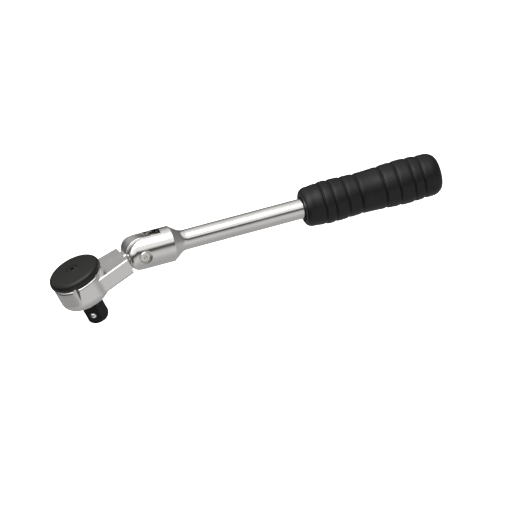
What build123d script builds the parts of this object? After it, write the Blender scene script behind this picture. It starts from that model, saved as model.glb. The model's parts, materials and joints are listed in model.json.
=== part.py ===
from build123d import *
import math
import os

# A flex-head ratchet wrench with a 1/2 inch square drive, in millimetres and degrees.
#
# Frame: the origin is the centre of the square drive's end face. +Z runs up the drive axis to
# the reversing disc, and +X runs from the drive axis to the flex joint. The handle is modelled
# straight along +X from its own pivot, then placed drooping by FLEX_AT_REST.

# ---- square drive ----
DRIVE_SIZE = 12.7                        # across flats
DRIVE_LENGTH = 16.4
DRIVE_TURN = 42.0                        # the ball's face, turned from -Y towards -X
DRIVE_EDGE_ROUND = 0.9
DRIVE_TIP_RADIUS = 6.5                   # flat left on the end face by the round nose
DRIVE_NOSE_RADIUS = 9.6                  # spherical lead-in of the corners
BALL_RADIUS = 2.8
BALL_PROUD = 1.3
BALL_HEIGHT = 7.2
BALL_POCKET_END = -2.0                   # along the ball's line, from the drive axis
BALL_SPRING = (1.7, 0.3, 3)              # coil radius, wire radius, turns

# ---- clearances ----
RUNNING_GAP = 0.05                       # radial gap of a running fit
CREST_GAP = 0.1                          # gap left where a spring would press one piece on another
SPRING_PLAY = 0.05                       # at each end of a spring
PAST = 1.0                               # how far a cutting shape runs past the face it cuts

# ---- O-rings of the drive collar and the disc ----
SEAL_SECTION_RADIUS = 0.55
SEAL_INSET = 0.6                         # from the shaft's surface to the middle of the section
SEAL_GROOVE_DEPTH = 1.2
SEAL_GROOVE_WIDTH = 1.4

# ---- head bowl ----
HEAD_RADIUS = 20.1
HEAD_BOTTOM = 19.0
HEAD_TOP = 40.8
HEAD_BOTTOM_ROUND = 8.0
HEAD_RIM_ROUND = 2.6
COLLAR_RADIUS = 9.2                      # drive collar, running in the floor of the bowl
COLLAR_EDGE = 0.5
FLOOR_TOP = HEAD_BOTTOM + 3.4
LOWER_BORE_RADIUS = 16.2
UPPER_BORE_RADIUS = 16.8
WASHER_THICKNESS = 0.6
WASHER_GAP = 0.2                         # radial gap round the thrust washer
DRIVE_SEAL_HEIGHT = HEAD_BOTTOM + 1.6

# ---- finger notches in the rim of the bowl ----
NOTCH_HALF_WIDTH = 4.15
NOTCH_CUT = 2.3                          # radial depth at the rim
NOTCH_RISE = 0.5                         # height of the cutting shape above the rim
FRONT_NOTCH_ANGLE = 114.0                # measured from +X
FRONT_NOTCH_DEPTH = 10.6
REAR_NOTCH_ANGLE = 52.0
REAR_NOTCH_DEPTH = 4.4

# ---- stem and tongue ----
PIVOT_X = 51.6
PIVOT_Z = 29.4
STEM_HEIGHT = 13.8
STEM_START_X = 9.0                       # inside the bowl
STEM_HALF_ANGLE = 62.0                   # of the pie that the stem keeps inside the bowl
STEM_ROOT_HALF_WIDTH = 16.2
STEM_END_HALF_WIDTH = 13.0
STEM_ROOT_BLEND = 12.0
STEM_PLAN_INSET = 0.02                   # keeps the stem's round end just inside the bowl
STEM_LOWER_CHAMFER = 2.4
STEM_UPPER_CHAMFER = 0.5
SHOULDER_TO_PIVOT = 13.2
TONGUE_THICKNESS = 9.4
TONGUE_RADIUS = 13.0
TONGUE_EDGE = 0.6
CLICK_ANGLE = 19.5                       # one click of the flex joint
CLICKS_EACH_WAY = 1
CLICK_DEPTH = 0.7

# ---- ratchet wheel and pawl ----
TOOTH_COUNT = 40
WHEEL_TIP_RADIUS = 13.0
TOOTH_DEPTH = 1.1
TOOTH_GAP_SHARE = 0.84                   # of the pitch, at the tips
FLANGE_RADIUS = 15.2
FLANGE_THICKNESS = 1.1
WHEEL_TOP = 30.6
PAWL_PIN_X = 18.6
PAWL_PIN_RADIUS = 1.5
PAWL_PIN_LOW = HEAD_BOTTOM + 4.0
PAWL_PIN_EDGE = 0.3
PAWL_HUB_RADIUS = 3.6
PAWL_BOTTOM = 25.0
PAWL_TOP = 34.6
PAWL_PIN_HIGH = PAWL_TOP + 1.2
PAWL_PIN_HOLE_HIGH = PAWL_TOP + 1.4
PAWL_OUTER_RADIUS = 16.4
PAWL_LIFT = 0.7                          # travel of each pawl end
PAWL_HALF_SPAN = 34.0
PAWL_POST_X = 12.85
PAWL_POST_HALF_WIDTH = 4.5
PAWL_STEP_GAP = 0.2                      # between the pawl's arms and the pieces above the wheel
POCKET_CLEARANCE = 0.2
POCKET_EXTRA_ANGLE = 6.0                 # room for the arms to swing
POST_ROOM = 1.0                          # room for the post to swing

# ---- reversing disc and its hub ----
DISC_RADIUS = 20.85
DISC_BOTTOM = 41.3
DISC_RIM_TOP = 47.0
DISC_APEX = 48.8
DISC_LOWER_ROUND = 1.4
DISC_UPPER_ROUND = 3.6
SPIGOT_RADIUS = 16.4
SPIGOT_LENGTH = 2.1
DISC_SEAL_HEIGHT = DISC_BOTTOM - 1.1
DISC_FIT_GAP = 0.1                       # round the hub's neck and the screw's shank
SELECTOR_HALF_TURN = 12.0                # the disc turns this far each side of centre
HUB_RADIUS = 11.4
HUB_BOTTOM = WHEEL_TOP + 0.2
HUB_SHOULDER = 35.4
HUB_NECK_RADIUS = 6.0
HUB_SQUARE = 8.4
HUB_SQUARE_BOTTOM = 39.4
HUB_TOP = 43.6
PLUNGER_RADIUS = 1.5
PLUNGER_TIP = 12.6                       # from the drive axis
PLUNGER_LENGTH = 6.0
PLUNGER_Z = 33.1
PLUNGER_BORE_END = -1.0                  # past the drive axis
SELECTOR_SPRING = (1.15, 0.2, 6)         # coil radius, wire radius, turns
SCREW_RADIUS = 2.0
SCREW_LOW = HUB_SHOULDER + 2.0
SCREW_HOLE_LOW = HUB_SHOULDER + 1.2
SCREW_HEAD_RADIUS = 4.4
SCREW_HEAD_HEIGHT = 2.4
SCREW_HEAD_EDGE = 0.5
SCREW_HEAD_GAP = 0.15                    # round and above the head, in its counterbore
SCREW_SOCKET = 3.4                       # across flats
SCREW_SOCKET_FLOOR = 0.7                 # metal left under the socket

# ---- cover plate and its ring ----
COVER_BOTTOM = 35.6
COVER_TOP = 37.4
RING_THICKNESS = 1.2
RING_GROOVE_DEPTH = 0.8
RING_WIDTH = 1.9
RING_GAP_HALF_ANGLE = 14.0
LUG_RADIUS = 1.7
LUG_HOLE_RADIUS = 0.7
LUG_INSET = 0.6                          # from the ring's inner edge to the lug's hole
LUG_ANGLE = 3.5                          # from the ring's end to the lug's hole

# ---- handle, measured from the pivot along its own axis ----
FLEX_AT_REST = CLICK_ANGLE
BARREL_RADIUS = 13.85
EAR_TIP_RADIUS = 12.3
EAR_TIP_ROUND = 1.4
EAR_NOSE = 13.4                          # front of the turned barrel, before the ears are rounded
EAR_NOSE_BLEND = 7.5                     # of the barrel into that front
SLOT_WIDTH = 9.8
SLOT_END = 16.9
BARREL_END = 24.6
BARREL_EDGE_ROUND = 0.8
CONE_END = 33.1
CONE_BLEND = 10.0                        # hollow blend of the cone into the shank
SHANK_RADIUS = 7.75
PIN_RADIUS = 4.4
PIN_HALF_LENGTH = 12.6
PIN_CHAMFER = 0.7
PIN_RECESS_RADIUS = 5.5
PIN_RECESS_START = 8.6                   # from the middle of the pin
PIN_MARK = (1.6, 0.8)                    # radius and depth of the cone drilled in each end
JOINT_PLUNGER_RADIUS = 2.6
JOINT_PLUNGER_LENGTH = 10.0
JOINT_BORE_END = 36.0
JOINT_SPRING = (1.9, 0.5, 6)             # coil radius, wire radius, turns

# ---- grip, measured from the pivot along the handle ----
GRIP_START = 131.0
GRIP_END = 240.7
GRIP_WALL_AT_END = 3.7
GRIP_FRONT_LIP_RADIUS = 11.2
GRIP_MOUTH_RADIUS = 10.0                 # hollow in the front end, round the shank
GRIP_MOUTH_DEPTH = 3.2
GRIP_END_FACE_RADIUS = 9.0
GRIP_SWELLS = [(136.5, 15.3), (149.0, 16.5), (178.0, 15.7), (212.0, 17.2), (231.5, 16.4)]
GRIP_GROOVES = [145.7, 153.8, 164.4, 175.0, 194.3, 205.5, 217.2, 225.4]
GROOVE_RADIUS = 1.0

BOTTOM_ALIGN = (Align.CENTER, Align.CENTER, Align.MIN)
HANDLE_PLACE = Pos(PIVOT_X, 0, PIVOT_Z) * Rot(0, FLEX_AT_REST, 0)
SELECTOR_PLACE = Rot(0, 0, -SELECTOR_HALF_TURN)
BALL_PLACE = Pos(0, 0, BALL_HEIGHT) * Rot(0, 0, -90 - DRIVE_TURN)


# ---------------------------------------------------------------- helpers
def upright(radius, low, high):
    """Cylinder about Z between two heights."""
    return Pos(0, 0, low) * Cylinder(radius, high - low, align=BOTTOM_ALIGN)


def along_x(radius, start, end):
    """Cylinder about X between two stations."""
    return Pos(start, 0, 0) * Rot(0, 90, 0) * Cylinder(radius, end - start, align=BOTTOM_ALIGN)


def across_y(radius, half_length):
    """Cylinder about Y, centred on the XZ plane."""
    return Rot(90, 0, 0) * Cylinder(radius, 2 * half_length)


def turned(outline, axis=Axis.Z):
    """Solid turned about an axis from a closed outline drawn in the XZ plane."""
    return revolve(Plane.XZ * make_face(outline), axis)


def corner_at(profile, x, y):
    """The corner of a flat profile nearest to a point."""
    return profile.vertices().sort_by_distance((x, y, 0))[0]


def o_ring(shaft_radius, height):
    """Round-section rubber ring in the groove of an upright shaft."""
    return Pos(0, 0, height) * Torus(shaft_radius - SEAL_INSET, SEAL_SECTION_RADIUS)


def o_ring_groove(shaft_radius, height):
    """Groove for an O-ring, to be cut from an upright shaft."""
    low = height - SEAL_GROOVE_WIDTH / 2
    high = height + SEAL_GROOVE_WIDTH / 2
    return upright(shaft_radius + PAST, low, high) - upright(shaft_radius - SEAL_GROOVE_DEPTH, low, high)


def coil_spring(proportions, length):
    """Compression spring standing on the XY plane."""
    radius, wire_radius, turns = proportions
    coil = Helix(pitch=(length - 2 * wire_radius) / turns, height=length - 2 * wire_radius, radius=radius)
    section = Plane(origin=coil @ 0, z_dir=coil % 0) * Circle(wire_radius)
    return Pos(0, 0, wire_radius) * sweep(section, path=coil, is_frenet=True)


def spring_along_x(proportions, start, end):
    """Compression spring about X between two stations, with a little play at each."""
    free = end - start - 2 * SPRING_PLAY
    return Pos(start + SPRING_PLAY, 0, 0) * Rot(0, 90, 0) * coil_spring(proportions, free)


def sector(radius, half_angle, low, high):
    """Pie-shaped sector about Z, centred on +X."""
    reach = 2 * radius
    corner = (reach, reach * math.tan(math.radians(half_angle)))
    wedge = make_face(Polyline((0, 0), corner, (corner[0], -corner[1]), close=True))
    return Pos(0, 0, low) * extrude(wedge & Circle(radius), high - low)


# ---------------------------------------------------------------- head
def bowl_shell():
    """Outside of the bowl, turned about the drive axis."""
    side_start = HEAD_BOTTOM + HEAD_BOTTOM_ROUND
    floor_edge = HEAD_RADIUS - HEAD_BOTTOM_ROUND
    outline = [
        Line((0, HEAD_BOTTOM), (floor_edge, HEAD_BOTTOM)),
        RadiusArc((floor_edge, HEAD_BOTTOM), (HEAD_RADIUS, side_start), -HEAD_BOTTOM_ROUND),
        Line((HEAD_RADIUS, side_start), (HEAD_RADIUS, HEAD_TOP - HEAD_RIM_ROUND)),
        RadiusArc((HEAD_RADIUS, HEAD_TOP - HEAD_RIM_ROUND), (HEAD_RADIUS - HEAD_RIM_ROUND, HEAD_TOP),
                  -HEAD_RIM_ROUND),
        Line((HEAD_RADIUS - HEAD_RIM_ROUND, HEAD_TOP), (0, HEAD_TOP)),
        Line((0, HEAD_TOP), (0, HEAD_BOTTOM)),
    ]
    return turned(outline)


def stem():
    """Tapered stem from the bowl to the shoulders, blended into the bowl in plan."""
    end_x = PIVOT_X - SHOULDER_TO_PIVOT
    taper = make_face(Polyline(
        (STEM_START_X, STEM_ROOT_HALF_WIDTH),
        (end_x, STEM_END_HALF_WIDTH),
        (end_x, -STEM_END_HALF_WIDTH),
        (STEM_START_X, -STEM_ROOT_HALF_WIDTH),
        close=True,
    ))
    plan = taper + Circle(HEAD_RADIUS - STEM_PLAN_INSET)
    corners = [v for v in plan.vertices() if 0 < v.X < end_x - 1 and abs(v.Y) > STEM_END_HALF_WIDTH]
    plan = fillet(corners, STEM_ROOT_BLEND)
    reach = (2 * end_x, 2 * end_x * math.tan(math.radians(STEM_HALF_ANGLE)))
    keep = make_face(Polyline((0, 0), reach, (reach[0], -reach[1]), close=True))
    solid = Pos(0, 0, PIVOT_Z - STEM_HEIGHT / 2) * extrude(plan & keep, STEM_HEIGHT)
    for face_index, size in ((0, STEM_LOWER_CHAMFER), (-1, STEM_UPPER_CHAMFER)):
        rim = solid.faces().sort_by(Axis.Z)[face_index].edges()
        sides = [e for e in rim if STEM_START_X + 0.1 < e.center().X < end_x - 0.1]
        solid = chamfer(sides, size)
    return solid


def tongue():
    """Round-ended tongue of the flex joint, with round clicks sunk in its edge."""
    blank = across_y(TONGUE_RADIUS, TONGUE_THICKNESS / 2)
    blank = fillet(blank.edges(), TONGUE_EDGE)
    neck_length = SHOULDER_TO_PIVOT + STEM_LOWER_CHAMFER + PAST
    neck = Box(neck_length, TONGUE_THICKNESS, STEM_HEIGHT, align=(Align.MAX, Align.CENTER, Align.CENTER))
    neck = chamfer(neck.edges().filter_by(Axis.X), TONGUE_EDGE)
    solid = blank + neck
    notch_centre = TONGUE_RADIUS + JOINT_PLUNGER_RADIUS - CLICK_DEPTH
    for click in range(-CLICKS_EACH_WAY, CLICKS_EACH_WAY + 1):
        turn = Rot(0, click * CLICK_ANGLE, 0)
        solid -= turn * Pos(notch_centre, 0, 0) * Sphere(JOINT_PLUNGER_RADIUS)
    return Pos(PIVOT_X, 0, PIVOT_Z) * solid


def finger_notch(angle, depth):
    """V-shaped cut that runs out down the side of the bowl."""
    top = HEAD_TOP + NOTCH_RISE
    reach = 2 * NOTCH_CUT
    inner = HEAD_RADIUS - NOTCH_CUT
    spread = NOTCH_HALF_WIDTH * reach / NOTCH_CUT
    mouth = Plane.XY.offset(top) * make_face(Polyline(
        (inner, 0),
        (inner + reach, spread),
        (inner + reach, -spread),
        close=True,
    ))
    apex = Vertex(inner + reach, 0, HEAD_TOP - depth * reach / NOTCH_CUT)
    return Rot(0, 0, angle) * loft([mouth.face(), apex])


def head_body():
    """Forged head: bowl, stem and tongue in one piece."""
    solid = bowl_shell() + stem() + tongue()
    solid -= upright(COLLAR_RADIUS + RUNNING_GAP, 0, FLOOR_TOP)
    solid -= upright(LOWER_BORE_RADIUS, FLOOR_TOP, COVER_BOTTOM)
    solid -= upright(UPPER_BORE_RADIUS, COVER_BOTTOM, HEAD_TOP + PAST)
    ring_high = COVER_TOP + RING_THICKNESS + RUNNING_GAP
    solid -= upright(UPPER_BORE_RADIUS + RING_GROOVE_DEPTH, COVER_TOP, ring_high)
    arm_reach = PAWL_OUTER_RADIUS + PAWL_LIFT + POCKET_CLEARANCE
    pocket_low = PAWL_BOTTOM - POCKET_CLEARANCE
    pocket_high = PAWL_TOP + POCKET_CLEARANCE
    solid -= sector(arm_reach, PAWL_HALF_SPAN + POCKET_EXTRA_ANGLE, pocket_low, pocket_high)
    hub_room = PAWL_HUB_RADIUS + 2 * POCKET_CLEARANCE
    post_room = PAWL_POST_HALF_WIDTH + POST_ROOM
    solid -= Pos(PAWL_PIN_X, 0, 0) * upright(hub_room, pocket_low, pocket_high)
    solid -= Pos(PAWL_PIN_X, 0, (pocket_low + pocket_high) / 2) * Box(
        hub_room, 2 * post_room, pocket_high - pocket_low, align=(Align.MAX, Align.CENTER, Align.CENTER))
    solid -= Pos(PAWL_PIN_X, 0, 0) * upright(PAWL_PIN_RADIUS, 0, PAWL_PIN_HOLE_HIGH)
    for side in (-1, 1):
        solid -= finger_notch(side * FRONT_NOTCH_ANGLE, FRONT_NOTCH_DEPTH)
        solid -= finger_notch(side * REAR_NOTCH_ANGLE, REAR_NOTCH_DEPTH)
    solid -= Pos(PIVOT_X, 0, PIVOT_Z) * across_y(PIN_RADIUS + RUNNING_GAP, TONGUE_THICKNESS)
    return solid


def pawl_pin():
    """Dowel that the pawl rocks on, pressed in from below."""
    pin = upright(PAWL_PIN_RADIUS, PAWL_PIN_LOW, PAWL_PIN_HIGH)
    return Pos(PAWL_PIN_X, 0, 0) * chamfer(pin.edges(), PAWL_PIN_EDGE)


def thrust_washer():
    """Washer between the floor of the bowl and the flange of the drive."""
    high = FLOOR_TOP + WASHER_THICKNESS
    disc = upright(LOWER_BORE_RADIUS - WASHER_GAP, FLOOR_TOP, high)
    return disc - upright(COLLAR_RADIUS + WASHER_GAP, FLOOR_TOP, high)


def cover_plate():
    """Steel plate that closes the mechanism under the disc."""
    plate = upright(UPPER_BORE_RADIUS - RUNNING_GAP, COVER_BOTTOM, COVER_TOP)
    return plate - upright(HUB_NECK_RADIUS + RUNNING_GAP, COVER_BOTTOM, COVER_TOP)


def retaining_ring():
    """Internal circlip above the cover plate, with two plier lugs at its gap."""
    outer = UPPER_BORE_RADIUS + RING_GROOVE_DEPTH - RUNNING_GAP
    inner = outer - RING_WIDTH
    low = COVER_TOP
    high = COVER_TOP + RING_THICKNESS
    ring = upright(outer, low, high) - upright(inner, low, high)
    ring -= Rot(0, 0, 180) * sector(outer + PAST, RING_GAP_HALF_ANGLE, low, high)
    lug_turn = RING_GAP_HALF_ANGLE + LUG_ANGLE
    for side in (-1, 1):
        lug = Rot(0, 0, 180 + side * lug_turn) * Pos(inner - LUG_INSET, 0, 0)
        ring += lug * upright(LUG_RADIUS, low, high)
        ring -= lug * upright(LUG_HOLE_RADIUS, low, high)
    return ring


# ---------------------------------------------------------------- drive
def square_with_nose():
    """The square, with its corners led in by a round nose."""
    square = extrude(Rectangle(DRIVE_SIZE, DRIVE_SIZE), DRIVE_LENGTH + PAST)
    square = fillet(square.edges().filter_by(Axis.Z), DRIVE_EDGE_ROUND)
    nose_centre = math.sqrt(DRIVE_NOSE_RADIUS ** 2 - DRIVE_TIP_RADIUS ** 2)
    nose = Pos(0, 0, nose_centre) * Sphere(DRIVE_NOSE_RADIUS)
    nose += upright(DRIVE_NOSE_RADIUS, nose_centre, DRIVE_LENGTH + PAST)
    return Rot(0, 0, -DRIVE_TURN) * (square & nose)


def ratchet_wheel(low, high):
    """Toothed wheel, with V-shaped gaps between its teeth."""
    wheel = upright(WHEEL_TIP_RADIUS, low, high)
    pitch = 360 / TOOTH_COUNT
    past_tip = WHEEL_TIP_RADIUS + PAST
    half_gap = math.radians(pitch * TOOTH_GAP_SHARE / 2) * past_tip * PAST / TOOTH_DEPTH
    gap = Pos(0, 0, low) * extrude(make_face(Polyline(
        (WHEEL_TIP_RADIUS - TOOTH_DEPTH, 0),
        (past_tip, half_gap),
        (past_tip, -half_gap),
        close=True,
    )), high - low)
    return wheel - [Rot(0, 0, i * pitch) * gap for i in range(TOOTH_COUNT)]


def drive_anvil():
    """Square drive, collar, flange and ratchet wheel in one piece."""
    flange_low = FLOOR_TOP + WASHER_THICKNESS + CREST_GAP
    wheel_low = flange_low + FLANGE_THICKNESS
    collar = upright(COLLAR_RADIUS, DRIVE_LENGTH, flange_low)
    collar = chamfer(collar.edges().group_by(Axis.Z)[0], COLLAR_EDGE)
    solid = square_with_nose() + collar + upright(FLANGE_RADIUS, flange_low, wheel_low)
    solid += ratchet_wheel(wheel_low, WHEEL_TOP)
    solid -= o_ring_groove(COLLAR_RADIUS, DRIVE_SEAL_HEIGHT)
    solid -= BALL_PLACE * along_x(BALL_RADIUS + RUNNING_GAP, BALL_POCKET_END, DRIVE_SIZE)
    return solid


def drive_seal():
    """O-ring in the groove of the drive collar."""
    return o_ring(COLLAR_RADIUS, DRIVE_SEAL_HEIGHT)


def drive_ball():
    """Detent ball that holds a socket on the square."""
    return BALL_PLACE * Pos(DRIVE_SIZE / 2 + BALL_PROUD - BALL_RADIUS, 0, 0) * Sphere(BALL_RADIUS)


def drive_ball_spring():
    """Spring behind the detent ball."""
    back_of_ball = DRIVE_SIZE / 2 + BALL_PROUD - 2 * BALL_RADIUS
    return BALL_PLACE * spring_along_x(BALL_SPRING, BALL_POCKET_END, back_of_ball)


# ---------------------------------------------------------------- pawl
def pawl():
    """Double-ended pawl, rocked to the end that blocks clockwise turning of the head."""
    lift_angle = pawl_rock_angle()
    inner = WHEEL_TIP_RADIUS + CREST_GAP + PAWL_LIFT
    lower_top = WHEEL_TOP - PAWL_STEP_GAP
    arms = sector(PAWL_OUTER_RADIUS, PAWL_HALF_SPAN, PAWL_BOTTOM, lower_top)
    pitch = 360 / TOOTH_COUNT
    for side in (-1, 1):
        for step in (0.5, 1.5):
            tooth_gap = sector(inner + TOOTH_DEPTH, pitch / 5, PAWL_BOTTOM, lower_top)
            arms -= Rot(0, 0, side * (PAWL_HALF_SPAN - step * pitch)) * tooth_gap
    hub = Pos(PAWL_PIN_X, 0, 0) * upright(PAWL_HUB_RADIUS, PAWL_BOTTOM, PAWL_TOP)
    post_low = WHEEL_TOP + PAWL_STEP_GAP
    post = Pos(PAWL_POST_X, 0, post_low) * Box(
        PAWL_PIN_X - PAWL_POST_X - PAWL_PIN_RADIUS / 2, 2 * PAWL_POST_HALF_WIDTH, PAWL_TOP - post_low,
        align=(Align.MIN, Align.CENTER, Align.MIN))
    web = Pos(inner, 0, PAWL_BOTTOM) * Box(
        PAWL_PIN_X - inner, 2 * PAWL_HUB_RADIUS, lower_top - PAWL_BOTTOM,
        align=(Align.MIN, Align.CENTER, Align.MIN))
    solid = arms + hub + post + web
    solid -= upright(inner, PAWL_BOTTOM, lower_top)
    solid -= Pos(PAWL_PIN_X, 0, 0) * upright(PAWL_PIN_RADIUS + RUNNING_GAP, PAWL_BOTTOM, PAWL_TOP)
    about_pin = Pos(PAWL_PIN_X, 0, 0) * Rot(0, 0, lift_angle) * Pos(-PAWL_PIN_X, 0, 0)
    return about_pin * solid


def pawl_rock_angle():
    """Angle that carries a pawl end from its middle position down to the wheel."""
    inner = WHEEL_TIP_RADIUS + CREST_GAP + PAWL_LIFT
    end_y = inner * math.sin(math.radians(PAWL_HALF_SPAN))
    lever = PAWL_PIN_X * end_y / inner
    return math.degrees(PAWL_LIFT / lever)


# ---------------------------------------------------------------- selector
def reversing_disc():
    """Mushroom-shaped reversing disc with a spigot in the mouth of the bowl."""
    rise = DISC_APEX - DISC_RIM_TOP
    dome_radius = (DISC_RADIUS ** 2 + rise ** 2) / (2 * rise)
    middle = DISC_RADIUS / 2
    middle_top = DISC_APEX - dome_radius + math.sqrt(dome_radius ** 2 - middle ** 2)
    profile = make_face([
        Line((0, DISC_BOTTOM), (DISC_RADIUS, DISC_BOTTOM)),
        Line((DISC_RADIUS, DISC_BOTTOM), (DISC_RADIUS, DISC_RIM_TOP)),
        ThreePointArc((DISC_RADIUS, DISC_RIM_TOP), (middle, middle_top), (0, DISC_APEX)),
        Line((0, DISC_APEX), (0, DISC_BOTTOM)),
    ])
    for height, radius in ((DISC_BOTTOM, DISC_LOWER_ROUND), (DISC_RIM_TOP, DISC_UPPER_ROUND)):
        profile = fillet(corner_at(profile, DISC_RADIUS, height), radius)
    solid = revolve(Plane.XZ * profile, Axis.Z)
    solid += upright(SPIGOT_RADIUS, DISC_BOTTOM - SPIGOT_LENGTH, DISC_BOTTOM)
    head_seat = DISC_APEX - SCREW_HEAD_HEIGHT
    solid -= upright(SCREW_HEAD_RADIUS + SCREW_HEAD_GAP, head_seat, DISC_APEX + PAST)
    solid -= upright(SCREW_RADIUS + DISC_FIT_GAP, HUB_TOP, DISC_APEX)
    solid -= upright(HUB_NECK_RADIUS + DISC_FIT_GAP, 0, HUB_SQUARE_BOTTOM)
    solid -= Pos(0, 0, HUB_SQUARE_BOTTOM - PAST) * Box(
        HUB_SQUARE, HUB_SQUARE, HUB_TOP - HUB_SQUARE_BOTTOM + PAST, align=BOTTOM_ALIGN)
    solid -= o_ring_groove(SPIGOT_RADIUS, DISC_SEAL_HEIGHT)
    return SELECTOR_PLACE * solid


def disc_seal():
    """O-ring on the spigot of the disc, keeping dirt out of the bowl."""
    return o_ring(SPIGOT_RADIUS, DISC_SEAL_HEIGHT)


def disc_screw():
    """Socket screw that clamps the disc on the hub."""
    seat = DISC_APEX - SCREW_HEAD_HEIGHT
    head = upright(SCREW_HEAD_RADIUS, seat, DISC_APEX - SCREW_HEAD_GAP)
    head = chamfer(head.edges().group_by(Axis.Z)[-1], SCREW_HEAD_EDGE)
    shank = upright(SCREW_RADIUS, SCREW_LOW, seat)
    socket = Pos(0, 0, seat + SCREW_SOCKET_FLOOR) * extrude(
        RegularPolygon(SCREW_SOCKET / 2, 6, major_radius=False), SCREW_HEAD_HEIGHT)
    return SELECTOR_PLACE * (head + shank - socket)


def selector_hub():
    """Steel hub turned by the disc, carrying the spring plunger that rocks the pawl."""
    solid = upright(HUB_RADIUS, HUB_BOTTOM, HUB_SHOULDER)
    solid += upright(HUB_NECK_RADIUS, HUB_SHOULDER, HUB_SQUARE_BOTTOM)
    solid += Pos(0, 0, HUB_SQUARE_BOTTOM) * Box(
        HUB_SQUARE, HUB_SQUARE, HUB_TOP - HUB_SQUARE_BOTTOM, align=BOTTOM_ALIGN)
    solid -= upright(SCREW_RADIUS, SCREW_HOLE_LOW, HUB_TOP + PAST)
    plunger_bore = along_x(PLUNGER_RADIUS + RUNNING_GAP, PLUNGER_BORE_END, HUB_RADIUS + PAST)
    solid -= Pos(0, 0, PLUNGER_Z) * plunger_bore
    return SELECTOR_PLACE * solid


def selector_plunger():
    """Round-nosed plunger in the hub, held at the crest of its stroke."""
    tail = PLUNGER_TIP - PLUNGER_LENGTH
    nose = PLUNGER_TIP - PLUNGER_RADIUS
    solid = along_x(PLUNGER_RADIUS, tail, nose) + Pos(nose, 0, 0) * Sphere(PLUNGER_RADIUS)
    return SELECTOR_PLACE * Pos(0, 0, PLUNGER_Z) * solid


def selector_spring():
    """Spring behind the selector plunger."""
    spring = spring_along_x(SELECTOR_SPRING, PLUNGER_BORE_END, PLUNGER_TIP - PLUNGER_LENGTH)
    return SELECTOR_PLACE * Pos(0, 0, PLUNGER_Z) * spring


# ---------------------------------------------------------------- handle
def fork_and_shank():
    """Slotted barrel, cone and round shank, forged and turned in one piece."""
    shank_end = GRIP_END - GRIP_WALL_AT_END
    profile = make_face(Polyline(
        (-EAR_NOSE, 0),
        (-EAR_NOSE, BARREL_RADIUS),
        (BARREL_END, BARREL_RADIUS),
        (CONE_END, SHANK_RADIUS),
        (shank_end, SHANK_RADIUS),
        (shank_end, 0),
        close=True,
    ))
    profile = fillet(corner_at(profile, -EAR_NOSE, BARREL_RADIUS), EAR_NOSE_BLEND)
    profile = fillet(corner_at(profile, BARREL_END, BARREL_RADIUS), BARREL_EDGE_ROUND)
    profile = fillet(corner_at(profile, CONE_END, SHANK_RADIUS), CONE_BLEND)
    body = revolve(Plane.XZ * profile, Axis.X)
    tall = 4 * BARREL_RADIUS
    ear_outline = Circle(EAR_TIP_RADIUS) + Rectangle(2 * GRIP_END, tall, align=(Align.MIN, Align.CENTER))
    body &= extrude(Plane.XZ * ear_outline, tall / 2, both=True)
    slot_length = SLOT_END + 2 * EAR_TIP_RADIUS
    body -= Pos(SLOT_END, 0, 0) * Box(
        slot_length, SLOT_WIDTH, tall, align=(Align.MAX, Align.CENTER, Align.CENTER))
    tips = body.edges().filter_by(lambda e: e.center().X < -1 and abs(e.center().Y) > SLOT_WIDTH / 2 + 0.2)
    body = fillet(tips, EAR_TIP_ROUND)
    body -= across_y(PIN_RADIUS, BARREL_RADIUS)
    for side in (-1, 1):
        recess = across_y(PIN_RECESS_RADIUS, BARREL_RADIUS / 2)
        body -= Pos(0, side * (PIN_RECESS_START + BARREL_RADIUS / 2), 0) * recess
    body -= along_x(JOINT_PLUNGER_RADIUS + RUNNING_GAP, 0, JOINT_BORE_END)
    return body


def handle_shaft():
    """Fork and shank, placed at the flex joint."""
    return HANDLE_PLACE * fork_and_shank()


def pivot_pin():
    """Pin of the flex joint, pressed in the ears, with a centre mark in each end."""
    pin = across_y(PIN_RADIUS, PIN_HALF_LENGTH)
    pin = chamfer(pin.edges(), PIN_CHAMFER)
    for side in (-1, 1):
        mark = Cone(0, PIN_MARK[0], PIN_MARK[1], align=BOTTOM_ALIGN)
        pin -= Rot(90 * side, 0, 0) * Pos(0, 0, PIN_HALF_LENGTH - PIN_MARK[1]) * mark
    return HANDLE_PLACE * pin


def joint_plunger():
    """Plunger that presses on the clicks of the tongue, held at the crest of its stroke."""
    tip = TONGUE_RADIUS + CREST_GAP
    nose = tip + JOINT_PLUNGER_RADIUS
    solid = along_x(JOINT_PLUNGER_RADIUS, nose, tip + JOINT_PLUNGER_LENGTH)
    solid += Pos(nose, 0, 0) * Sphere(JOINT_PLUNGER_RADIUS)
    return HANDLE_PLACE * solid


def joint_spring():
    """Strong spring behind the joint plunger."""
    back_of_plunger = TONGUE_RADIUS + CREST_GAP + JOINT_PLUNGER_LENGTH
    return HANDLE_PLACE * spring_along_x(JOINT_SPRING, back_of_plunger, JOINT_BORE_END)


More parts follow.
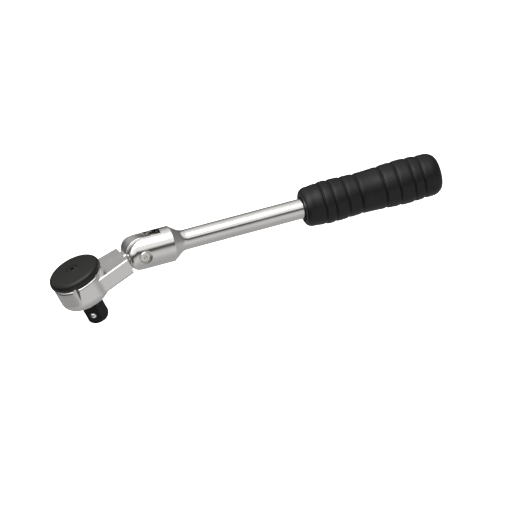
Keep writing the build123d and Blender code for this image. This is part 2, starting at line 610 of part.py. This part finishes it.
def rubber_grip():
    """Rubber sleeve with a hollow mouth, a waist, a swell at the rear and ring grooves."""
    front = (GRIP_START, GRIP_FRONT_LIP_RADIUS)
    rear = (GRIP_END, GRIP_END_FACE_RADIUS)
    corner = math.sqrt(0.5)
    first = GRIP_SWELLS[0]
    last = GRIP_SWELLS[-1]
    front_mid = (first[0] - (first[0] - front[0]) * corner, front[1] + (first[1] - front[1]) * corner)
    rear_mid = (last[0] + (rear[0] - last[0]) * corner, rear[1] + (last[1] - rear[1]) * corner)
    outline = [
        Line((GRIP_START, 0), front),
        ThreePointArc(front, front_mid, first),
        Spline(*GRIP_SWELLS),
        ThreePointArc(last, rear_mid, rear),
        Line(rear, (GRIP_END, 0)),
        Line((GRIP_END, 0), (GRIP_START, 0)),
    ]
    grip = turned(outline, Axis.X)
    surface = Spline(*GRIP_SWELLS)
    for station in GRIP_GROOVES:
        radius = groove_radius_at(surface, station)
        grip -= Pos(station, 0, 0) * Rot(0, 90, 0) * Torus(radius, GROOVE_RADIUS)
    grip -= along_x(SHANK_RADIUS, GRIP_START, GRIP_END - GRIP_WALL_AT_END)
    grip -= turned(Polyline(
        (GRIP_START, 0),
        (GRIP_START, GRIP_MOUTH_RADIUS),
        (GRIP_START + GRIP_MOUTH_DEPTH, SHANK_RADIUS),
        (GRIP_START + GRIP_MOUTH_DEPTH, 0),
        close=True,
    ), Axis.X)
    return HANDLE_PLACE * grip


def groove_radius_at(surface, station):
    """Radius of the grip's outer surface at a station along the handle."""
    low, high = 0.0, 1.0
    for _ in range(40):
        middle = (low + high) / 2
        if (surface @ middle).X < station:
            low = middle
        else:
            high = middle
    return (surface @ low).Y


# ---------------------------------------------------------------- export
PIECES = [
    head_body, pawl_pin, thrust_washer, cover_plate, retaining_ring,
    drive_anvil, drive_seal, drive_ball, drive_ball_spring,
    pawl,
    reversing_disc, disc_seal, disc_screw, selector_hub, selector_plunger, selector_spring,
    handle_shaft, pivot_pin, joint_plunger, joint_spring, rubber_grip,
]

os.makedirs("parts", exist_ok=True)
for piece in PIECES:
    export_step(piece(), f"parts/{piece.__name__}.step")
print("pawl rock each way, degrees:", round(pawl_rock_angle(), 3))
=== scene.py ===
import bmesh
import bpy
import json
import math
from mathutils import Matrix, Vector


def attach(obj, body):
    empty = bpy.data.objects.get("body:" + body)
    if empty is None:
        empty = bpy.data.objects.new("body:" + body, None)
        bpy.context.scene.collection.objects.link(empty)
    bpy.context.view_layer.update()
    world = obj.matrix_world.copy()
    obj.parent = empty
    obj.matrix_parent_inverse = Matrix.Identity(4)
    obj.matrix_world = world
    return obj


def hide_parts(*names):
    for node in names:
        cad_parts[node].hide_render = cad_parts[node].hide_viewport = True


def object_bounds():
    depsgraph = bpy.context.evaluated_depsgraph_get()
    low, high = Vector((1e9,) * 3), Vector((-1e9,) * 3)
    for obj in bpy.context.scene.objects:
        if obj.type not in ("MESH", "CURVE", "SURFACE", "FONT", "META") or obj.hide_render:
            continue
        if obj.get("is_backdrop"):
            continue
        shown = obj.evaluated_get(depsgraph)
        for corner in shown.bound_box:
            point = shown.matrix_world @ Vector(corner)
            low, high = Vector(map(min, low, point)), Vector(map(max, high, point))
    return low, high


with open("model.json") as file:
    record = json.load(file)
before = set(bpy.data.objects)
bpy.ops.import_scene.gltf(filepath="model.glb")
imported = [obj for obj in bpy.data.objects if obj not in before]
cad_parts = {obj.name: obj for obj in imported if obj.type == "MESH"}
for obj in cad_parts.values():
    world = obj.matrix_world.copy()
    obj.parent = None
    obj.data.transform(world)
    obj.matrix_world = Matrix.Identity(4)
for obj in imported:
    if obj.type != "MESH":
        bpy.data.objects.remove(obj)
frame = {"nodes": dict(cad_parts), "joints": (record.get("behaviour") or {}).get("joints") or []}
cad_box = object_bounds()
nodes = frame["nodes"]
joint_of = {joint["name"]: joint for joint in frame["joints"]}

# ---- view: angles of the camera, degrees, and the part of the frame that the tool spans ----
VIEW_AZIMUTH = -5.955
VIEW_ELEVATION = 27.256
VIEW_ROLL = 29.994
TOOL_SHARE_OF_WIDTH = 0.7708
TOOL_CENTRE_LEFT = 0.0176                # of the frame's width, from its middle
TOOL_CENTRE_ABOVE = 0.0324
CAMERA_DISTANCE = 1.6

# ---- studio: grey levels by height of the direction, -1 straight down to 1 straight up ----
FRONT_LEVELS = [(-1.0, 0.40), (-0.75, 0.48), (-0.50, 0.62), (-0.20, 0.62), (-0.02, 0.40), (0.12, 0.07),
                (0.30, 0.09), (0.42, 0.92), (1.0, 0.97)]
BACK_LEVELS = [(-1.0, 0.40), (-0.30, 0.34), (0.0, 0.10), (0.28, 0.16), (0.45, 0.39), (0.62, 0.60),
               (0.85, 0.95), (1.0, 0.97)]
LEFT_LEVELS = [(-1.0, 0.40), (-0.50, 0.46), (-0.32, 0.08), (0.20, 0.06), (0.45, 0.70), (1.0, 0.97)]
RIGHT_LEVELS = [(-1.0, 0.40), (-0.50, 0.42), (-0.25, 0.26), (0.20, 0.14), (0.45, 0.80), (1.0, 0.97)]
STUDIO_WARMTH = 0.012
FRONT_TO_BACK = (-0.3, 0.3)              # along Y, where the front's levels change to the back's
END_BLEND = (0.55, 0.85)                 # along X, where the levels change to those of the ends

# ---- lights: azimuth and elevation in degrees, distance and size in metres, power in watts ----
LIGHTS = {
    "top_softbox": (10.0, 72.0, 1.2, (1.4, 0.9), 10.0),
    "side_fill": (-60.0, 48.0, 1.4, (0.8, 0.8), 2.0),
}
FLOOR_HALF_SIZE = 3.0
FLOOR_GAP = 0.002                        # under the handle when it hangs straight down

MM = 0.001

# ---- grip, in mm from the flex joint along the handle ----
GRIP_START = 131.0
GRIP_END = 240.7
GRIP_SWELLS = [(136.5, 15.3), (149.0, 16.5), (178.0, 15.7), (212.0, 17.2), (231.5, 16.4)]
GRIP_GROOVES = [145.7, 153.8, 164.4, 175.0, 194.3, 205.5, 217.2, 225.4]
GROOVE_DEPTH = 1.15
GROOVE_HALF_WIDTH = 0.95
BAND_EDGE = 3.0                          # from a groove to the flat middle of its band
BAND_DROP = 0.35                         # how far the bands sink towards their grooves
LIP_RADIUS = 11.2                        # front lip, round the hollow mouth
MOUTH_RADIUS = 10.0
MOUTH_DEPTH = 3.2
MOUTH_FLOOR_STEP = 0.5                   # rise of the mouth's floor from the bore to its wall
MOUTH_EDGE = 0.35
BORE_RADIUS = 7.8
BORE_END = 236.9
END_FACE_RADIUS = 9.0
END_DISH = [(8.3, 0.0), (7.7, 0.5), (3.2, 0.5), (2.6, 0.15), (0.0, 0.1)]   # radius and depth
GRIP_STEP = 0.4
ROUND_STEPS = 14                         # in each quarter round at the ends of the grip
GRIP_SEGMENTS = 144


# ---------------------------------------------------------------- node helpers
class Graph:
    """Small helper that adds nodes to a material and links them."""

    def __init__(self, name):
        self.material = bpy.data.materials.new(name)
        self.material.use_nodes = True
        self.tree = self.material.node_tree
        self.shader = self.tree.nodes["Principled BSDF"]
        self.place = self.add("ShaderNodeTexCoord").outputs["Object"]

    def add(self, kind, inputs=(), **settings):
        """Node with its settings, and its inputs linked or set."""
        node = self.tree.nodes.new(kind)
        for key, value in settings.items():
            setattr(node, key, value)
        for key, value in dict(inputs).items():
            if isinstance(value, bpy.types.NodeSocket):
                self.tree.links.new(value, node.inputs[key])
            else:
                node.inputs[key].default_value = value
        return node

    def scaled(self, scale, rotation=(0, 0, 0)):
        """Object coordinates, turned and scaled."""
        return self.add("ShaderNodeMapping", {
            "Vector": self.place, "Rotation": rotation, "Scale": scale}).outputs[0]

    def noise(self, scale, detail=4.0, place=None, roughness=0.5, distortion=0.0):
        """Noise in object coordinates, or in others that are given."""
        vector = self.place if place is None else place
        return self.add("ShaderNodeTexNoise", {
            "Vector": vector, "Scale": scale, "Detail": detail,
            "Roughness": roughness, "Distortion": distortion}).outputs[0]

    def spread(self, value, low, high, to_low=0.0, to_high=1.0):
        """Maps a range of a value to another range, clamped."""
        return self.add("ShaderNodeMapRange", {
            "Value": value, "From Min": low, "From Max": high,
            "To Min": to_low, "To Max": to_high}).outputs[0]

    def math(self, operation, first, second=0.0):
        """One sum on two values."""
        return self.add("ShaderNodeMath", {0: first, 1: second}, operation=operation).outputs[0]

    def mix(self, share, first, second):
        """Colour mix by a share."""
        node = self.add("ShaderNodeMix", data_type="RGBA")
        for socket, value in ((node.inputs[0], share), (node.inputs[6], first), (node.inputs[7], second)):
            if isinstance(value, bpy.types.NodeSocket):
                self.tree.links.new(value, socket)
            else:
                socket.default_value = value
        return node.outputs[2]

    def bump(self, height, strength, distance, normal=None):
        """Normal raised by a height, over another normal if one is given."""
        inputs = {"Height": height, "Strength": strength, "Distance": distance}
        if normal is not None:
            inputs["Normal"] = normal
        return self.add("ShaderNodeBump", inputs).outputs[0]

    def edge(self, radius, low=0.02, high=0.25):
        """Mask of convex and hollow edges, from the difference between the rounded and the true normal."""
        rounded = self.add("ShaderNodeBevel", {"Radius": radius}, samples=6).outputs[0]
        true_normal = self.add("ShaderNodeNewGeometry").outputs["Normal"]
        along = self.add("ShaderNodeVectorMath", {0: rounded, 1: true_normal}, operation="DOT_PRODUCT")
        return self.spread(self.math("SUBTRACT", 1.0, along.outputs["Value"]), low, high)

    def connect(self, **sockets):
        """Links values to the shader."""
        for key, value in sockets.items():
            socket = "Base Color" if key == "colour" else key.title()
            self.tree.links.new(value, self.shader.inputs[socket])

    def set(self, **values):
        """Sets constants on the shader."""
        for key, value in values.items():
            socket = key.replace("_", " ").title().replace("Ior", "IOR")
            self.shader.inputs[socket].default_value = value


def grey(level, warmth=0.0):
    """Opaque grey, warmer above zero warmth."""
    return (level * (1 + warmth), level, level * (1 - warmth), 1.0)


# ---------------------------------------------------------------- metals
def plated(name, gloss, brush_direction, orange_peel):
    """Chrome plate: bright, with faint haze patches, polishing lines, fine scratches and worn edges."""
    g = Graph(name)
    haze = g.noise(38.0, 5.0, roughness=0.6)
    smudge = g.noise(11.0, 3.0, distortion=0.6)
    lines = g.noise(220.0, 3.0, g.scaled(brush_direction), roughness=0.7)
    scratch = g.noise(900.0, 2.0, g.scaled((0.05, 1.0, 0.35), (0.3, 0.5, 0.9)))
    marks = g.spread(scratch, 0.66, 0.74)
    edge = g.edge(0.5 * MM)
    tint = g.mix(g.spread(haze, 0.35, 0.7), grey(0.80, 0.014), grey(0.86, 0.008))
    tint = g.mix(g.spread(edge, 0.0, 1.0, 0.0, 0.35), tint, grey(0.94, 0.004))
    rough = g.spread(haze, 0.3, 0.7, gloss * 0.8, gloss * 1.25)
    rough = g.math("ADD", rough, g.spread(smudge, 0.45, 0.75, 0.0, 0.06))
    rough = g.math("ADD", rough, g.math("MULTIPLY", marks, 0.10))
    peel = g.bump(g.noise(420.0, 2.0), orange_peel, 0.02 * MM)
    fine = g.bump(lines, 0.05, 0.02 * MM, peel)
    g.connect(colour=tint, roughness=rough, normal=g.bump(marks, 0.05, -0.01 * MM, fine))
    g.set(metallic=1.0)
    return g.material


def turned_steel(name, level, gloss, ring_scale):
    """Bare steel with fine turning or drawing lines, oil stain and darker patches."""
    g = Graph(name)
    lines = g.noise(260.0, 4.0, g.scaled(ring_scale), roughness=0.7)
    stain = g.noise(90.0, 4.0, distortion=0.4)
    tint = g.mix(g.spread(stain, 0.4, 0.7), grey(level, 0.03), grey(level * 0.78, 0.06))
    tint = g.mix(g.spread(lines, 0.3, 0.8, 0.0, 0.3), tint, grey(level * 1.15, 0.02))
    rough = g.spread(lines, 0.3, 0.7, gloss * 0.7, gloss * 1.3)
    rough = g.math("ADD", rough, g.spread(stain, 0.5, 0.8, 0.0, 0.12))
    g.connect(colour=tint, roughness=rough, normal=g.bump(lines, 0.18, 0.03 * MM))
    g.set(metallic=1.0)
    return g.material


def blackened_steel(name, level, gloss, wear):
    """Phosphated or oxide-blacked steel: fine crystal grain, oily patches and bright worn edges."""
    g = Graph(name)
    crystals = g.noise(1500.0, 3.0, roughness=0.65)
    oil = g.noise(70.0, 3.0, distortion=0.5)
    patches = g.noise(240.0, 4.0)
    coat = g.mix(g.spread(crystals, 0.3, 0.7), grey(level * 0.7), grey(level * 1.5, 0.02))
    worn = g.math("MULTIPLY", g.edge(0.45 * MM, 0.03, 0.3), g.spread(patches, 0.42, 0.62))
    worn = g.math("MULTIPLY", worn, wear)
    tint = g.mix(worn, coat, grey(0.32, 0.03))
    rough = g.spread(oil, 0.35, 0.7, gloss * 0.8, gloss * 1.2)
    rough = g.math("ADD", rough, g.spread(crystals, 0.3, 0.7, -0.05, 0.08))
    g.connect(colour=tint, roughness=rough, metallic=g.math("MULTIPLY", worn, 0.9),
              normal=g.bump(crystals, 0.22, 0.05 * MM, g.bump(patches, 0.15, 0.08 * MM)))
    g.set(specular_ior_level=0.2)
    return g.material


# ---------------------------------------------------------------- plastic and rubber
def moulded_plastic(name):
    """Satin black moulding: fine spark texture, flow haze, scuffs and rubbed edge."""
    g = Graph(name)
    spark = g.noise(1900.0, 3.0, roughness=0.6)
    flow = g.noise(34.0, 3.0, distortion=1.2)
    scuff = g.spread(g.noise(760.0, 2.0, g.scaled((0.12, 1.0, 1.0), (0.0, 0.0, 0.7))), 0.64, 0.74)
    edge = g.edge(0.9 * MM, 0.01, 0.2)
    tint = g.mix(g.spread(flow, 0.35, 0.7), (0.0040, 0.0042, 0.0037, 1.0),
                 (0.0060, 0.0062, 0.0055, 1.0))
    tint = g.mix(g.math("MULTIPLY", edge, 0.35), tint, (0.016, 0.016, 0.015, 1.0))
    tint = g.mix(g.math("MULTIPLY", scuff, 0.4), tint, (0.030, 0.030, 0.028, 1.0))
    rough = g.math("ADD", g.spread(flow, 0.3, 0.7, 0.34, 0.44), g.math("MULTIPLY", scuff, 0.12))
    g.connect(colour=tint, roughness=rough,
              normal=g.bump(spark, 0.16, 0.04 * MM, g.bump(scuff, 0.08, -0.02 * MM)))
    g.set(specular_ior_level=0.36)
    return g.material


def rubber(name, level, pebble, gloss):
    """Black rubber: pebbled skin, dull bloom and dust in hollows."""
    g = Graph(name)
    cells = g.add("ShaderNodeTexVoronoi", {"Vector": g.place, "Scale": pebble, "Randomness": 1.0},
                  feature="SMOOTH_F1").outputs["Distance"]
    grain = g.noise(pebble * 2.2, 3.0)
    bloom = g.noise(46.0, 4.0, distortion=0.7)
    hollow = g.edge(0.8 * MM, 0.02, 0.3)
    tint = g.mix(g.spread(bloom, 0.35, 0.72), (level * 0.85, level * 0.97, level * 0.95, 1.0),
                 (level * 1.5, level * 1.66, level * 1.62, 1.0))
    dusty = g.math("MULTIPLY", hollow, g.spread(bloom, 0.45, 0.7))
    tint = g.mix(g.math("MULTIPLY", dusty, 0.25), tint, grey(0.018, 0.05))
    rough = g.spread(bloom, 0.35, 0.7, gloss, gloss * 1.22)
    rough = g.math("ADD", rough, g.spread(grain, 0.3, 0.7, -0.04, 0.05))
    g.connect(colour=tint, roughness=rough,
              normal=g.bump(cells, 0.28, 0.10 * MM, g.bump(grain, 0.2, 0.05 * MM)))
    g.set(specular_ior_level=0.34)
    return g.material


def make_finishes():
    """One finish per use; some are shared by several nodes."""
    return {
        "forged_chrome": plated("forged_chrome", 0.24, (2.0, 2.0, 12.0), 0.22),
        "turned_chrome": plated("turned_chrome", 0.12, (18.0, 1.0, 1.0), 0.08),
        "ground_pin": turned_steel("ground_pin", 0.78, 0.24, (1.0, 14.0, 1.0)),
        "polished_ball": turned_steel("polished_ball", 0.85, 0.10, (1.0, 1.0, 1.0)),
        "hardened": turned_steel("hardened", 0.42, 0.30, (1.0, 1.0, 9.0)),
        "spring_wire": turned_steel("spring_wire", 0.50, 0.26, (6.0, 6.0, 6.0)),
        "phosphate": blackened_steel("phosphate", 0.003, 0.42, 0.3),
        "oxide": blackened_steel("oxide", 0.012, 0.34, 0.35),
        "moulding": moulded_plastic("moulding"),
        "seal": rubber("seal", 0.006, 900.0, 0.40),
        "grip": rubber("grip", 0.0026, 620.0, 0.38),
    }


FINISH_OF = {
    "head_body": "forged_chrome", "handle_shaft": "turned_chrome", "pivot_pin": "ground_pin",
    "drive_ball": "polished_ball", "reversing_disc": "moulding", "disc_screw": "oxide",
    "drive_anvil": "phosphate", "drive_seal": "seal", "disc_seal": "seal", "rubber_grip": "grip",
    "pawl": "hardened", "pawl_pin": "ground_pin", "thrust_washer": "hardened",
    "cover_plate": "hardened", "retaining_ring": "oxide", "selector_hub": "hardened",
    "selector_plunger": "ground_pin", "selector_spring": "spring_wire",
    "drive_ball_spring": "spring_wire", "joint_plunger": "hardened", "joint_spring": "spring_wire",
}


def dress_cad_nodes(finishes):
    """Every CAD node shows its own procedural finish."""
    for name, finish in FINISH_OF.items():
        for material_slot in nodes[name].material_slots:
            material_slot.material = finishes[finish]


# ---------------------------------------------------------------- grip
def smooth(share):
    """Eases a share from 0 to 1."""
    share = min(max(share, 0.0), 1.0)
    return share * share * (3 - 2 * share)


def swell_radius(station):
    """Radius of the grip between its swells and waists, without grooves."""
    for (start, low), (end, high) in zip(GRIP_SWELLS, GRIP_SWELLS[1:]):
        if station <= end:
            return low + (high - low) * smooth((station - start) / (end - start))
    return GRIP_SWELLS[-1][1]


def grip_radius(station):
    """Swells, with soft round bands between V-shaped grooves."""
    to_groove = min(abs(station - groove) for groove in GRIP_GROOVES)
    groove = smooth(1 - to_groove / GROOVE_HALF_WIDTH) * GROOVE_DEPTH
    drop = (1 - smooth(to_groove / BAND_EDGE)) * BAND_DROP
    return swell_radius(station) - groove - drop


def grip_outline():
    """Closed outline of the sleeve as stations and radii, from the bore round the outside to the end."""
    first, last = GRIP_SWELLS[0], GRIP_SWELLS[-1]
    outline = [
        (BORE_END, 0.0),
        (BORE_END, BORE_RADIUS),
        (GRIP_START + MOUTH_DEPTH, BORE_RADIUS),
        (GRIP_START + MOUTH_DEPTH * 0.8, BORE_RADIUS + MOUTH_FLOOR_STEP),
        (GRIP_START + MOUTH_EDGE, MOUTH_RADIUS),
        (GRIP_START, MOUTH_RADIUS + MOUTH_EDGE),
    ]
    quarter = [math.radians(90 * i / ROUND_STEPS) for i in range(ROUND_STEPS + 1)]
    for turn in quarter:
        outline.append((first[0] - (first[0] - GRIP_START) * math.cos(turn),
                        LIP_RADIUS + (first[1] - LIP_RADIUS) * math.sin(turn)))
    steps = int((last[0] - first[0]) / GRIP_STEP)
    for i in range(1, steps):
        station = first[0] + (last[0] - first[0]) * i / steps
        outline.append((station, grip_radius(station)))
    for turn in quarter:
        outline.append((last[0] + (GRIP_END - last[0]) * math.sin(turn),
                        END_FACE_RADIUS + (last[1] - END_FACE_RADIUS) * math.cos(turn)))
    for radius, depth in END_DISH:
        outline.append((GRIP_END - depth, radius))
    return outline


def ring_faces(ring, following):
    """Faces between two rings of points, either of which may be a single point on the axis."""
    faces = []
    for i in range(GRIP_SEGMENTS):
        j = (i + 1) % GRIP_SEGMENTS
        if len(ring) == 1:
            faces.append((ring[0], following[j], following[i]))
        elif len(following) == 1:
            faces.append((ring[i], ring[j], following[0]))
        else:
            faces.append((ring[i], ring[j], following[j], following[i]))
    return faces


def face_outwards(mesh):
    """Turns every face of a closed mesh outwards."""
    shell = bmesh.new()
    shell.from_mesh(mesh)
    bmesh.ops.recalc_face_normals(shell, faces=shell.faces)
    shell.to_mesh(mesh)
    shell.free()


def make_grip(material):
    """Rubber sleeve lathed about the handle, standing for the CAD's plain grip."""
    pivot = Vector(joint_of["handle_flex"]["pos_m"])
    across = Vector(joint_of["handle_flex"]["axis"]).normalized()
    along = Vector(joint_of["joint_plunger_push"]["axis"]).normalized()
    upward = along.cross(across)
    points, rings = [], []
    for station, radius in grip_outline():
        centre = pivot + along * (station * MM)
        count = GRIP_SEGMENTS if radius > 0 else 1
        rings.append(range(len(points), len(points) + count))
        for i in range(count):
            turn = 2 * math.pi * i / GRIP_SEGMENTS
            outward = across * math.cos(turn) + upward * math.sin(turn)
            points.append(centre + outward * (radius * MM))
    faces = []
    for ring, following in zip(rings, rings[1:]):
        faces += ring_faces(ring, following)
    mesh = bpy.data.meshes.new("grip_sleeve")
    mesh.from_pydata(points, [], faces)
    mesh.materials.append(material)
    mesh.shade_smooth()
    face_outwards(mesh)
    grip = bpy.data.objects.new("grip_sleeve", mesh)
    bpy.context.scene.collection.objects.link(grip)
    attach(grip, "handle")
    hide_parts("rubber_grip")


# ---------------------------------------------------------------- studio
def sphere_direction(azimuth, elevation):
    """Direction from the tool, in the same angles as the camera's."""
    turn = math.radians(azimuth)
    lift = math.radians(elevation)
    return Vector((math.sin(turn) * math.cos(lift), -math.cos(turn) * math.cos(lift), math.sin(lift)))


def height_ramp(tree, height, stops):
    """Grey levels by height of the direction, from -1 straight down to 1 straight up."""
    lift = tree.nodes.new("ShaderNodeMapRange")
    ramp = tree.nodes.new("ShaderNodeValToRGB")
    tree.links.new(height, lift.inputs["Value"])
    tree.links.new(lift.outputs[0], ramp.inputs[0])
    lift.inputs["From Min"].default_value = -1.0
    elements = ramp.color_ramp.elements
    elements.remove(elements[-1])
    for i, (level_at, level) in enumerate(stops):
        position = (level_at + 1) / 2
        element = elements[0] if i == 0 else elements.new(position)
        element.position = position
        element.color = grey(level, STUDIO_WARMTH)
    return ramp.outputs[0]


def blend_by(tree, value, between, first, second):
    """Blends two colours as a value goes from the low to the high end of a range."""
    share = tree.nodes.new("ShaderNodeMapRange")
    share.interpolation_type = "SMOOTHSTEP"
    share.inputs["From Min"].default_value = between[0]
    share.inputs["From Max"].default_value = between[1]
    mix = tree.nodes.new("ShaderNodeMix")
    mix.data_type = "RGBA"
    tree.links.new(value, share.inputs["Value"])
    tree.links.new(share.outputs[0], mix.inputs[0])
    tree.links.new(first, mix.inputs[6])
    tree.links.new(second, mix.inputs[7])
    return mix.outputs[2]


def make_world():
    """White tent with a dark gap above the table in front, and darker far side and ends."""
    world = bpy.data.worlds.new("studio")
    bpy.context.scene.world = world
    world.use_nodes = True
    tree = world.node_tree
    place = tree.nodes.new("ShaderNodeTexCoord")
    split = tree.nodes.new("ShaderNodeSeparateXYZ")
    tree.links.new(place.outputs["Generated"], split.inputs[0])
    x, y, z = split.outputs
    front = height_ramp(tree, z, FRONT_LEVELS)
    back = height_ramp(tree, z, BACK_LEVELS)
    left = height_ramp(tree, z, LEFT_LEVELS)
    right = height_ramp(tree, z, RIGHT_LEVELS)
    inner, outer = END_BLEND
    colour = blend_by(tree, y, FRONT_TO_BACK, front, back)
    colour = blend_by(tree, x, (-outer, -inner), left, colour)
    colour = blend_by(tree, x, (inner, outer), colour, right)
    background = tree.nodes["Background"]
    tree.links.new(colour, background.inputs["Color"])
    background.inputs["Strength"].default_value = 1.0


def make_floor():
    """Plain pale floor, low enough for the handle to hang straight down, and left out of reflections."""
    pivot = Vector(joint_of["handle_flex"]["pos_m"])
    reach = max((v.co - pivot).length for v in nodes["rubber_grip"].data.vertices)
    z = pivot.z - reach - FLOOR_GAP
    signs = ((-1, -1), (1, -1), (1, 1), (-1, 1))
    corners = [(x * FLOOR_HALF_SIZE, y * FLOOR_HALF_SIZE, z) for x, y in signs]
    mesh = bpy.data.meshes.new("studio_floor")
    mesh.from_pydata(corners, [], [(0, 1, 2, 3)])
    floor = bpy.data.objects.new("studio_floor", mesh)
    bpy.context.scene.collection.objects.link(floor)
    g = Graph("pale_floor")
    g.connect(colour=g.mix(g.noise(9.0, 3.0), grey(0.93), grey(0.96)),
              roughness=g.spread(g.noise(30.0), 0.3, 0.7, 0.7, 0.8))
    g.set(specular_ior_level=0.1, emission_color=grey(1.0), emission_strength=0.95)
    mesh.materials.append(g.material)
    floor.visible_glossy = False
    floor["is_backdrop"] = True


def area_light(name, azimuth, elevation, distance, size, power):
    """Soft oblong light aimed at the middle of the tool."""
    low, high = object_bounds()
    data = bpy.data.lights.new(name, "AREA")
    data.shape = "RECTANGLE"
    data.size, data.size_y = size
    data.energy = power
    light = bpy.data.objects.new(name, data)
    bpy.context.scene.collection.objects.link(light)
    direction = sphere_direction(azimuth, elevation)
    light.location = (low + high) / 2 + direction * distance
    light.rotation_euler = direction.to_track_quat("Z", "Y").to_euler()


def make_lights():
    """Large soft light overhead and a weak one at the side."""
    for name, settings in LIGHTS.items():
        area_light(name, *settings)


def make_camera():
    """Long-lens camera at the view's angles, framed by the tool's own outline."""
    turn = math.radians(VIEW_AZIMUTH)
    roll = math.radians(VIEW_ROLL)
    back = sphere_direction(VIEW_AZIMUTH, VIEW_ELEVATION)
    level_right = Vector((math.cos(turn), math.sin(turn), 0))
    level_up = back.cross(level_right)
    right = level_right * math.cos(roll) - level_up * math.sin(roll)
    up = level_right * math.sin(roll) + level_up * math.cos(roll)
    spans = []
    for axis in (right, up):
        places = [axis.dot(v.co) for o in nodes.values() for v in o.data.vertices]
        spans.append((min(places), max(places)))
    width = (spans[0][1] - spans[0][0]) / TOOL_SHARE_OF_WIDTH
    centre_right = sum(spans[0]) / 2 + TOOL_CENTRE_LEFT * width
    centre_up = sum(spans[1]) / 2 - TOOL_CENTRE_ABOVE * width
    data = bpy.data.cameras.new("camera")
    data.type = "ORTHO"
    data.ortho_scale = width
    camera = bpy.data.objects.new("camera", data)
    bpy.context.scene.collection.objects.link(camera)
    low, high = cad_box
    depth = back.dot((low + high) / 2) + CAMERA_DISTANCE
    place = right * centre_right + up * centre_up + back * depth
    camera.matrix_world = Matrix.Translation(place) @ Matrix((right, up, back)).transposed().to_4x4()
    bpy.context.scene.camera = camera


make_camera()
make_world()
finishes = make_finishes()
dress_cad_nodes(finishes)
make_grip(finishes["grip"])
make_floor()
make_lights()
bpy.context.scene.view_settings.view_transform = "Standard"
